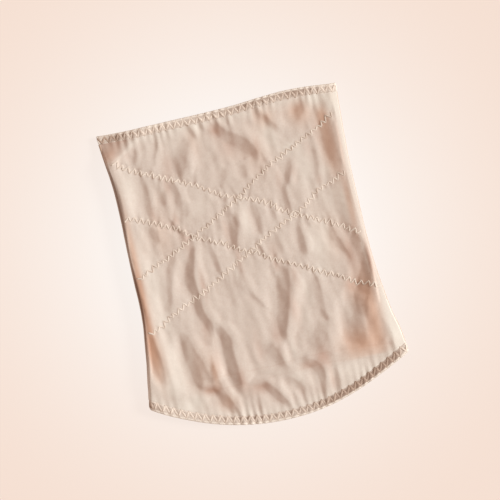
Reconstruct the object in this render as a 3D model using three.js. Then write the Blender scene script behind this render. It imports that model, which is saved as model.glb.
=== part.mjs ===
// Abdominal binder: a pull-on tube of beige stretch fabric, lying flat on its back panel.
// Lengths are in millimetres. +X runs across the garment, +Y towards its top edge and +Z up from the surface
// that it lies on. The origin is on that surface, under the middle of the garment.
// The front is folded as a worn and washed binder falls: rolled sides, a sunken middle and long soft folds.

import * as THREE from 'three';
import { ParametricGeometry } from 'three/addons/geometries/ParametricGeometry.js';
import { mergeVertices } from 'three/addons/utils/BufferGeometryUtils.js';

// Outline, laid flat
const TOP_WIDTH = 270.6;
const WAIST_WIDTH = 259.6;
const HEM_WIDTH = 292.4;
const SIDE_LENGTH = 302.2;
const HEM_DROP = 46;
const TOP_RISE = 5.3;

// Section of the flattened tube
const BODY_HEIGHT = 14;
const BAND_HEIGHT = 11;
const BAND_EASE = 26;
const CLOTH_WALL = 1.2;
const ELASTIC_WALL = 2.2;
const BAND_WIDTH = 8.5;
const SEAM_RADIUS = 1.1;
const GAP = 0.3;

// Relief of the front
const SAG = 2.6;
const SAG_REACH = 20;
const FOLD_RISE = 3.2;
const FOLD_WIDTH = 10;
const FOLD_RETURN = 16;
const CREST_FADE = 7;
const BAND_FADE = 16;

// Fineness of the faceted surfaces
const ROWS = 32;
const ROLL_STEPS = 4;
const FRONT_STEPS = 40;
const BACK_STEPS = 10;
const BAND_FRONT_STEPS = 20;
const BAND_WIDTH_STEPS = 2;
const SEAM_SIDES = 8;

// Sizes that follow from the ones above
const LENGTH = SIDE_LENGTH + HEM_DROP + TOP_RISE;
const HALF_HEM = HEM_WIDTH / 2;
const HEM_RADIUS = (HALF_HEM ** 2 + HEM_DROP ** 2) / (2 * HEM_DROP);
const HEM_CENTRE_Y = HEM_RADIUS - LENGTH / 2;
const CORNER_Y = HEM_DROP - LENGTH / 2;
const TOP_Y = CORNER_Y + SIDE_LENGTH;

// Sides, from the top corners down: down is a share of the side's length, top and hem are shares of the flare
// from the waist to the top's and the hem's width, and lean moves both sides by a share of the waist's width.
const SIDE_ROWS = [
  { down: 0.00, top: 1.00, hem: 0.00, lean: -0.015 },
  { down: 0.08, top: 0.63, hem: 0.00, lean: -0.013 },
  { down: 0.19, top: 0.16, hem: 0.00, lean: -0.009 },
  { down: 0.30, top: 0.00, hem: 0.00, lean: -0.009 },
  { down: 0.42, top: 0.00, hem: 0.03, lean: -0.009 },
  { down: 0.55, top: 0.00, hem: 0.05, lean: -0.008 },
  { down: 0.63, top: 0.00, hem: 0.07, lean: -0.005 },
  { down: 0.70, top: 0.00, hem: 0.15, lean: -0.003 },
  { down: 0.77, top: 0.00, hem: 0.31, lean: -0.003 },
  { down: 0.85, top: 0.00, hem: 0.52, lean: -0.002 },
  { down: 0.92, top: 0.00, hem: 0.78, lean: 0.001 },
  { down: 1.00, top: 0.00, hem: 1.00, lean: 0.000 },
];

// Top edge: across is a share of half the width, rise a share of the top's rise.
const TOP_ROWS = [
  { across: -1.00, rise: 0.30 },
  { across: -0.76, rise: 0.00 },
  { across: -0.38, rise: 0.10 },
  { across: 0.00, rise: 0.23 },
  { across: 0.16, rise: 0.38 },
  { across: 0.39, rise: 0.79 },
  { across: 0.62, rise: 1.00 },
  { across: 0.78, rise: 0.89 },
  { across: 1.00, rise: 0.45 },
];

// Main folds of the front. Each climbs from a hollow on its left to a crest on its right.
// path: points down the middle of the climb, as [share of half the hem's width, share of half the length].
// wide: width of the climb, as a share of the fold width. rise: height, as a share of the fold rise.
// left, right: how far the cloth takes to level out on each side, as shares of the fold return.
const FOLDS = [
  { path: [[-0.72, 0.96], [-0.83, 0.89], [-0.93, 0.82]], wide: 1.8, rise: 0.9, left: 0.8, right: 0.8 },
  { path: [[-0.66, 0.90], [-0.71, 0.78], [-0.73, 0.68]], wide: 0.8, rise: 0.4, left: 0.8, right: 0.8 },
  { path: [[-0.30, 0.86], [-0.36, 0.70], [-0.40, 0.54]], wide: 1.6, rise: 1.0, left: 1.2, right: 0.7 },
  { path: [[-0.05, 0.92], [0.08, 0.76], [0.20, 0.60]], wide: 1.6, rise: 0.9, left: 1.2, right: 1.0 },
  { path: [[0.25, 0.94], [0.33, 0.84], [0.41, 0.75]], wide: 0.8, rise: 0.6, left: 0.8, right: 0.8 },
  { path: [[0.66, 0.94], [0.60, 0.86], [0.52, 0.80]], wide: 1.2, rise: 0.5, left: 0.8, right: 0.8 },
  { path: [[-0.66, 0.64], [-0.67, 0.50], [-0.66, 0.38]], wide: 0.8, rise: 0.5, left: 0.9, right: 0.8 },
  { path: [[-0.48, 0.63], [-0.45, 0.51], [-0.46, 0.38]], wide: 0.8, rise: 0.6, left: 0.9, right: 0.7 },
  { path: [[-0.11, 0.38], [-0.08, 0.23], [-0.11, 0.05]], wide: 0.9, rise: 0.9, left: 0.9, right: 0.8 },
  { path: [[0.08, 0.42], [0.10, 0.29], [0.11, 0.15]], wide: 0.8, rise: 0.4, left: 0.7, right: 0.7 },
  { path: [[0.43, 0.60], [0.37, 0.44], [0.35, 0.26]], wide: 0.8, rise: 0.8, left: 0.9, right: 0.8 },
  { path: [[0.60, 0.62], [0.63, 0.50], [0.60, 0.34]], wide: 0.8, rise: 0.5, left: 0.8, right: 0.8 },
  { path: [[0.65, 0.20], [0.65, 0.05], [0.74, -0.14]], wide: 0.8, rise: 0.7, left: 0.9, right: 0.7 },
  { path: [[0.38, 0.24], [0.40, 0.08], [0.43, -0.08]], wide: 0.9, rise: 0.7, left: 1.1, right: 0.8 },
  { path: [[-0.55, 0.18], [-0.64, 0.02], [-0.70, -0.20]], wide: 0.8, rise: 0.6, left: 0.8, right: 0.8 },
  { path: [[-0.43, 0.24], [-0.48, -0.05], [-0.43, -0.42]], wide: 0.9, rise: 0.9, left: 0.9, right: 0.8 },
  { path: [[-0.12, 0.00], [-0.11, -0.15], [-0.02, -0.30]], wide: 0.9, rise: 0.4, left: 0.9, right: 0.9 },
  { path: [[0.24, -0.02], [0.18, -0.24], [0.11, -0.54]], wide: 1.1, rise: 0.9, left: 1.0, right: 1.0 },
  { path: [[0.84, -0.04], [0.80, -0.24], [0.71, -0.46]], wide: 1.0, rise: 0.9, left: 0.9, right: 0.8 },
  { path: [[0.46, -0.16], [0.44, -0.42], [0.34, -0.64]], wide: 1.2, rise: 0.6, left: 1.0, right: 1.0 },
  { path: [[-0.89, -0.28], [-0.85, -0.48], [-0.82, -0.70]], wide: 0.9, rise: 0.9, left: 0.7, right: 0.9 },
  { path: [[-0.65, -0.32], [-0.56, -0.56], [-0.44, -0.74]], wide: 1.4, rise: 1.1, left: 0.9, right: 0.7 },
  { path: [[-0.36, -0.30], [-0.30, -0.54], [-0.30, -0.76]], wide: 0.9, rise: 1.0, left: 0.9, right: 0.8 },
  { path: [[-0.50, -0.70], [-0.41, -0.79], [-0.34, -0.90]], wide: 1.0, rise: 0.8, left: 0.9, right: 0.7 },
  { path: [[-0.16, -0.70], [-0.06, -0.82], [0.02, -0.92]], wide: 0.8, rise: 0.9, left: 0.8, right: 0.8 },
  { path: [[0.00, -0.48], [0.03, -0.60], [0.09, -0.72]], wide: 0.8, rise: 0.8, left: 0.8, right: 0.8 },
  { path: [[0.20, -0.64], [0.31, -0.76], [0.32, -0.92]], wide: 0.8, rise: 0.9, left: 0.8, right: 0.8 },
  { path: [[0.65, -0.46], [0.66, -0.60], [0.69, -0.70]], wide: 1.1, rise: 0.5, left: 0.8, right: 0.8 },
];

const STEP_DOWN_SHARE = 0.3;
const HEM_SOLVE_STEPS = 5;
const QUARTER_TURN = Math.PI / 2;

// A smooth curve through the rows of a table, read by the value in one column.
function tableCurve(rows, from, to) {
  const places = rows.map((row) => row[from]);
  const values = rows.map((row) => row[to]);
  const curve = new THREE.CubicInterpolant(places, values, 1, [0]);
  return (place) => curve.evaluate(THREE.MathUtils.clamp(place, places[0], places.at(-1)))[0];
}

const topFlare = tableCurve(SIDE_ROWS, 'down', 'top');
const hemFlare = tableCurve(SIDE_ROWS, 'down', 'hem');
const sideLean = tableCurve(SIDE_ROWS, 'down', 'lean');
const topRise = tableCurve(TOP_ROWS, 'across', 'rise');

// Half the garment's width at a height, and where its middle lies there.
function halfWidth(y) {
  const down = (TOP_Y - y) / SIDE_LENGTH;
  const flare = topFlare(down) * (TOP_WIDTH - WAIST_WIDTH) + hemFlare(down) * (HEM_WIDTH - WAIST_WIDTH);
  return (WAIST_WIDTH + flare) / 2;
}

function middleX(y) {
  return sideLean((TOP_Y - y) / SIDE_LENGTH) * WAIST_WIDTH;
}

// How far the tube has risen from the bands' height to the body's, from 0 at the bands to 1.
function bodyShare(share) {
  const distance = Math.min(share, 1 - share) * SIDE_LENGTH;
  return THREE.MathUtils.smoothstep(distance, 0, BAND_EASE);
}

function rollRadius(share) {
  return THREE.MathUtils.lerp(BAND_HEIGHT, BODY_HEIGHT, bodyShare(share)) / 2;
}

// Lanes are the lines that run down the tube. across goes from -1 to 1 between the crests of the side rolls,
// turn from 0 at the side seam to 1 at the crest, and face is 1 on the front and -1 on the back.
function sheetLanes(face, steps) {
  const lanes = [];
  for (let k = 0; k < ROLL_STEPS; k += 1) lanes.push({ across: -1, turn: k / ROLL_STEPS, face });
  for (let k = 0; k <= steps; k += 1) lanes.push({ across: -1 + (2 * k) / steps, turn: 1, face });
  for (let k = ROLL_STEPS - 1; k >= 0; k -= 1) lanes.push({ across: 1, turn: k / ROLL_STEPS, face });
  return lanes;
}

function ringLanes() {
  const front = sheetLanes(1, BAND_FRONT_STEPS).reverse();
  const back = sheetLanes(-1, BACK_STEPS);
  return [...front, ...back.slice(1, -1)];
}

// Angle of a lane round its roll, up from the seam. Panels stop short of the seam's ridge, and rings don't.
function laneAngle(lane, radius, stopsAtSeam) {
  const start = stopsAtSeam ? Math.asin((SEAM_RADIUS + GAP) / (radius - CLOTH_WALL / 2)) : 0;
  return THREE.MathUtils.lerp(start, QUARTER_TURN, lane.turn);
}

function laneX(lane, y, radius, angle, depth) {
  const between = lane.across * (halfWidth(y) - radius);
  return middleX(y) + between + Math.sign(lane.across) * (radius - depth) * Math.cos(angle);
}

// Where a lane meets the curved hem, or a line parallel to the hem and inset from it.
function hemY(lane, inset, radius, angle, depth) {
  let y = CORNER_Y;
  for (let k = 0; k < HEM_SOLVE_STEPS; k += 1) {
    const x = laneX(lane, y, radius, angle, depth);
    y = HEM_CENTRE_Y - Math.sqrt((HEM_RADIUS - inset) ** 2 - x ** 2);
  }
  return y;
}

// Height of one fold's surface over the level cloth, at a point of the front.
function foldLift(fold, x, y) {
  const from = fold.path[0][1] * LENGTH / 2;
  const to = fold.path.at(-1)[1] * LENGTH / 2;
  if (y > from || y < to) return 0;
  const step = (from - to) * STEP_DOWN_SHARE;
  const ends = THREE.MathUtils.smoothstep(from - y, 0, step) * THREE.MathUtils.smoothstep(y - to, 0, step);
  const place = fold.curve(-y);
  const off = (x - place.x) * place.square;
  const half = fold.wide * FOLD_WIDTH / 2;
  const rise = fold.rise * FOLD_RISE * ends;
  if (Math.abs(off) <= half) return rise / 2 * Math.sin(QUARTER_TURN * off / half);
  const reach = FOLD_RETURN * (off < 0 ? fold.left : fold.right);
  const level = Math.min(1, (Math.abs(off) - half) / reach);
  return Math.sign(off) * rise / 2 * (1 + Math.cos(Math.PI * level)) / 2;
}

// Adds to each fold the line that its climb follows, read by the height down the garment.
function withCurve(fold) {
  const rows = fold.path.map(([across, along]) => ({ down: -along * LENGTH / 2, x: across * HALF_HEM }));
  const lineX = tableCurve(rows, 'down', 'x');
  const curve = (down) => {
    const slope = (lineX(down + 1) - lineX(down - 1)) / 2;
    return { x: lineX(down), square: 1 / Math.hypot(1, slope) };
  };
  return { ...fold, curve };
}

const CURVED_FOLDS = FOLDS.map(withCurve);

// Relief of the front at a lane and a height: the sag between the rolls, and the folds.
function frontRelief(lane, x, y, radius, share) {
  const fromCrest = (1 - Math.abs(lane.across)) * (halfWidth(y) - radius);
  const sag = -SAG * THREE.MathUtils.smoothstep(fromCrest, 0, SAG_REACH) * bodyShare(share);
  const fromBand = Math.min(share, 1 - share) * SIDE_LENGTH;
  const inCrest = THREE.MathUtils.smoothstep(fromCrest, 0, CREST_FADE);
  const fade = inCrest * THREE.MathUtils.smoothstep(fromBand, 0, BAND_FADE);
  const folds = CURVED_FOLDS.reduce((sum, fold) => sum + foldLift(fold, x, y), 0);
  return sag + folds * fade;
}

// A point of the tube: share runs from 0 at the top to 1 at the hem, inset is the distance kept from both edges
// and depth goes in from the outer face.
function tubePoint(lane, share, inset, depth, stopsAtSeam) {
  const radius = rollRadius(share);
  const angle = laneAngle(lane, radius, stopsAtSeam);
  const topY = TOP_Y + topRise(lane.across) * TOP_RISE - inset;
  const y = THREE.MathUtils.lerp(topY, hemY(lane, inset, radius, angle, depth), share);
  const x = laneX(lane, y, radius, angle, depth);
  const relief = lane.face > 0 ? frontRelief(lane, x, y, radius, share) : 0;
  const z = radius + lane.face * (radius - depth) * Math.sin(angle) + relief;
  return new THREE.Vector3(x, y, z);
}

// Welds a geometry's shared corners and moves each one with the place function.
function welded(geometry, place) {
  geometry.deleteAttribute('normal');
  geometry.deleteAttribute('uv');
  if (place) {
    const points = geometry.getAttribute('position');
    const corner = new THREE.Vector3();
    for (let k = 0; k < points.count; k += 1) {
      corner.fromBufferAttribute(points, k);
      const moved = place(corner);
      points.setXYZ(k, moved.x, moved.y, moved.z);
    }
  }
  const whole = mergeVertices(geometry);
  whole.computeVertexNormals();
  return whole;
}

// One panel: a sheet of cloth from seam to seam and from band to band, a wall thick.
function panelGeometry(lanes) {
  const columns = lanes.length - 1;
  const sheet = new THREE.BoxGeometry(1, 1, 1, columns, ROWS, 1);
  const edge = BAND_WIDTH + GAP;
  return welded(sheet, (corner) => {
    const lane = lanes[Math.round((corner.x + 0.5) * columns)];
    const depth = corner.z > 0 ? 0 : CLOTH_WALL;
    return tubePoint(lane, 0.5 - corner.y, edge, depth, true);
  });
}

// One elastic band: a closed ring round the tube at its top or hem, with a flat oblong section.
function bandGeometry(share) {
  const lanes = ringLanes();
  const section = [];
  for (let k = 0; k <= BAND_WIDTH_STEPS; k += 1) section.push({ across: k / BAND_WIDTH_STEPS, depth: 0 });
  for (let k = BAND_WIDTH_STEPS; k >= 0; k -= 1) {
    section.push({ across: k / BAND_WIDTH_STEPS, depth: ELASTIC_WALL });
  }
  const insetOf = (across) => BAND_WIDTH * (share === 0 ? across : 1 - across);
  const place = (u, v, target) => {
    const lane = lanes[Math.round(u * lanes.length) % lanes.length];
    const corner = section[Math.round(v * section.length) % section.length];
    target.copy(tubePoint(lane, share, insetOf(corner.across), corner.depth, false));
  };
  return welded(new ParametricGeometry(place, lanes.length, section.length));
}

// One side seam: a thin round ridge down the outermost line of the tube.
function seamGeometry(side) {
  const rod = new THREE.CylinderGeometry(1, 1, 1, SEAM_SIDES, ROWS);
  const edge = BAND_WIDTH + GAP;
  const lane = { across: side, turn: 0, face: 1 };
  return welded(rod, (corner) => {
    const share = 0.5 - corner.y;
    const depth = CLOTH_WALL / 2 - side * SEAM_RADIUS * corner.x;
    const middle = tubePoint(lane, share, edge, depth, false);
    return middle.setZ(middle.z + SEAM_RADIUS * corner.z);
  });
}

function piece(name, geometry, material) {
  const mesh = new THREE.Mesh(geometry, material);
  mesh.name = name;
  return mesh;
}

const knit = () => new THREE.MeshStandardMaterial({ color: 0xd6c2b3, roughness: 0.62, metalness: 0 });
const elastic = () => new THREE.MeshStandardMaterial({ color: 0xcfb8a6, roughness: 0.72, metalness: 0 });
const overlock = () => new THREE.MeshStandardMaterial({ color: 0xc9ae9a, roughness: 0.8, metalness: 0 });

const group = new THREE.Group();
group.add(piece('front_panel', panelGeometry(sheetLanes(1, FRONT_STEPS)), knit()));
group.add(piece('back_panel', panelGeometry(sheetLanes(-1, BACK_STEPS).reverse()), knit()));
group.add(piece('top_elastic', bandGeometry(0), elastic()));
group.add(piece('bottom_elastic', bandGeometry(1), elastic()));
group.add(piece('side_seam_left', seamGeometry(-1), overlock()));
group.add(piece('side_seam_right', seamGeometry(1), overlock()));

export default group;
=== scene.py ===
"""Looks of the abdominal binder: a pull-on tube of beige stretch fabric, lying flat on its back panel.

Lengths are in millimetres until a mesh is made. +X runs across the garment, +Y towards its top edge and +Z up
from the surface that it lies on. The tables were charted. Their across values are hundredths of half the
hem's width, and their along values hundredths of half the length.
"""

import math
from collections import namedtuple

import bpy
import numpy as np
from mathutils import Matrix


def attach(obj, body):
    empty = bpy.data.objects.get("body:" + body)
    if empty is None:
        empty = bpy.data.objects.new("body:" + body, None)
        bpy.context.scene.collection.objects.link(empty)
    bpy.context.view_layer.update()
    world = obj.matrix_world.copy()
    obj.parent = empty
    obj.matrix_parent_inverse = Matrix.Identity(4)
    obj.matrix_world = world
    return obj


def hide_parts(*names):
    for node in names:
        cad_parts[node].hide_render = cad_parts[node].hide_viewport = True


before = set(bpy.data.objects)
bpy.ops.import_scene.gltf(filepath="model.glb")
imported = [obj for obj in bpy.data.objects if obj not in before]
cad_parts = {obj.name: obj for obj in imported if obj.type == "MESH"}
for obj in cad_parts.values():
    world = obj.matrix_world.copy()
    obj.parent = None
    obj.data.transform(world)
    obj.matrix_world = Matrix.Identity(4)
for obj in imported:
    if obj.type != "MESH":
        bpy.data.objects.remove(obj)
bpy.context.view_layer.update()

# Outline, laid flat
TOP_WIDTH = 270.6
WAIST_WIDTH = 259.6
HEM_WIDTH = 292.4
SIDE_LENGTH = 302.2
HEM_DROP = 46.0
TOP_RISE = 5.3

# Section of the flattened tube
BODY_HEIGHT = 14.0
BAND_HEIGHT = 11.0
BAND_EASE = 26.0
CLOTH_WALL = 1.2
ELASTIC_WALL = 2.2
BAND_WIDTH = 10.0
BACK_REACH = 7.0
SEAM_RADIUS = 1.1
CLOTH_IN_BAND = 1.2

# Relief of the front: its sag between the rolls, and how the folds fade towards them and into the bands
SAG = 2.4
SAG_REACH = 24.0
CREST_FADE = 2.2
BAND_FADE = 6.0
FOLD_IN_BAND = 0.3

# Section of a fold: its height as a share of width by slope, how far its middle lies off its path as a share of half
# the width, its longest fade at an end, the steepest fall beside it, and the steepest slope of an eased fall
FOLD_GAIN = 0.52
FOLD_SHIFT = 0.08
FOLD_FADE = 16
FALL = 0.17
EASED_SLOPE = 0.785

# Section of the rolls: how square the left one is, and the right one's edge and bevel as shares of its reach
LEFT_ROUND = 2.3
RIGHT_EDGE = 0.16
RIGHT_BEVEL = 0.24

# Small relief: the channel and the dents of a stitch row, the gathers by a band, pressed creases, and the top left
# corner, which drops behind a ridge along a crease from one (across, along) to another
CHANNEL_DEPTH = 0.16
CHANNEL_WIDTH = 3.6
DENT_DEPTH = 0.2
DENT_AREA = 1.9
GATHER_HEIGHT = 0.46
GATHER_REACH = 10
CREASE_DEPTH = 0.12
CREASE_WIDTH = 0.85
CORNER_CREASE = [(-63.5, 93), (-90, 77)]
CORNER_RIDGE = 0.9
CORNER_DROP = 6.0
CORNER_REACH = 28

# Sewing: stitches, threads with how much wider than thick they lie, how far a row's stitches stray along and across
# it and how worn they are, and the loops, scallops and puffs of a band
ZIGZAG_PITCH = 8.2
ZIGZAG_EDGE = 2.3
ZIGZAG_WIDTH = 6.9
ROW_PITCH = 7.0
ROW_WIDTH = 5.6
BAND_THREAD = 0.38
BAND_THREAD_SPREAD = 3.5
ROW_THREAD = 0.42
ROW_THREAD_SPREAD = 2.4
THREAD_ARCH = 0.16
THREAD_SINK = 0.2
STITCH_STRAY = (0.5, 0.22)
STITCH_WEAR = 0.25
PICOT_PITCH = 2.05
PICOT_DEPTH = 0.55
SCALLOP = 0.25
PUFF = 0.4
PUFF_SINK = 0.1
LAYER_STEP = 0.35

# Fineness: steps of each sheet over one roll, over its wide stretch and from the top to the hem, and of the bands
FRONT_STEPS = (14, 220, 284)
BACK_STEPS = (6, 90, 140)
BAND_STEP = 0.55
PATH_STEP = 1.5
FOLD_STEP = 2.5
ROW_SIDES = 6
ROW_STEPS = 5
ZIGZAG_SIDES = 8
ZIGZAG_STEPS = 12
SEAM_SIDES = 14
SEAM_STEPS = 520

# Sizes that follow from the ones above
LENGTH = SIDE_LENGTH + HEM_DROP + TOP_RISE
HALF_WIDTH = HEM_WIDTH / 2
HALF_LENGTH = LENGTH / 2
HEM_RADIUS = (HALF_WIDTH ** 2 + HEM_DROP ** 2) / (2 * HEM_DROP)
HEM_CENTRE_Y = HEM_RADIUS - HALF_LENGTH
CORNER_Y = HEM_DROP - HALF_LENGTH
TOP_Y = CORNER_Y + SIDE_LENGTH
UNIT_X = HALF_WIDTH / 100
UNIT_Y = HALF_LENGTH / 100

# Where each sheet stops short of the line through a side seam, as a share of a roll
SEAM_SHARE = 0.0625

# Sides: (share of the side's length from the top, share of the flare to the top's width, share of the flare to the
# hem's width, how far both sides lean as a share of the waist's width).
SIDE_ROWS = [
    (0.00, 1.00, 0.00, -0.015), (0.08, 0.63, 0.00, -0.013), (0.19, 0.16, 0.00, -0.009), (0.30, 0.00, 0.00, -0.009),
    (0.42, 0.00, 0.03, -0.009), (0.55, 0.00, 0.05, -0.008), (0.63, 0.00, 0.07, -0.005), (0.70, 0.00, 0.15, -0.003),
    (0.77, 0.00, 0.31, -0.003), (0.85, 0.00, 0.52, -0.002), (0.92, 0.00, 0.78, 0.001), (1.00, 0.00, 1.00, 0.000),
]

# How far in from its side the front's roll reaches its crest: (along, left, right), in millimetres.
ROLL_ROWS = [
    (-80, 4.0, 9.0), (-60, 4.0, 11.0), (-50, 4.0, 10.5), (-35, 3.6, 6.6), (-16, 3.4, 2.4), (0, 3.4, 3.4),
    (30, 3.4, 5.7), (60, 3.6, 5.5), (95, 4.5, 6.5),
]

# Top edge: (share of half the width, share of the top's rise).
TOP_ROWS = [
    (-1.00, 0.30), (-0.76, 0.04), (-0.38, 0.10), (0.00, 0.23), (0.16, 0.38), (0.39, 0.83), (0.62, 1.10),
    (0.78, 0.96), (1.00, 0.45),
]

# Hem: (share of half the width, how far it lies below its even arc in millimetres).
HEM_ROWS = [
    (-1.00, 3.6), (-0.90, 2.8), (-0.75, 1.6), (-0.50, 1.0), (0.00, 0.7), (0.30, 0.5), (0.55, -0.4), (0.72, -0.9),
    (0.85, -0.2), (1.00, 2.2),
]

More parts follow.
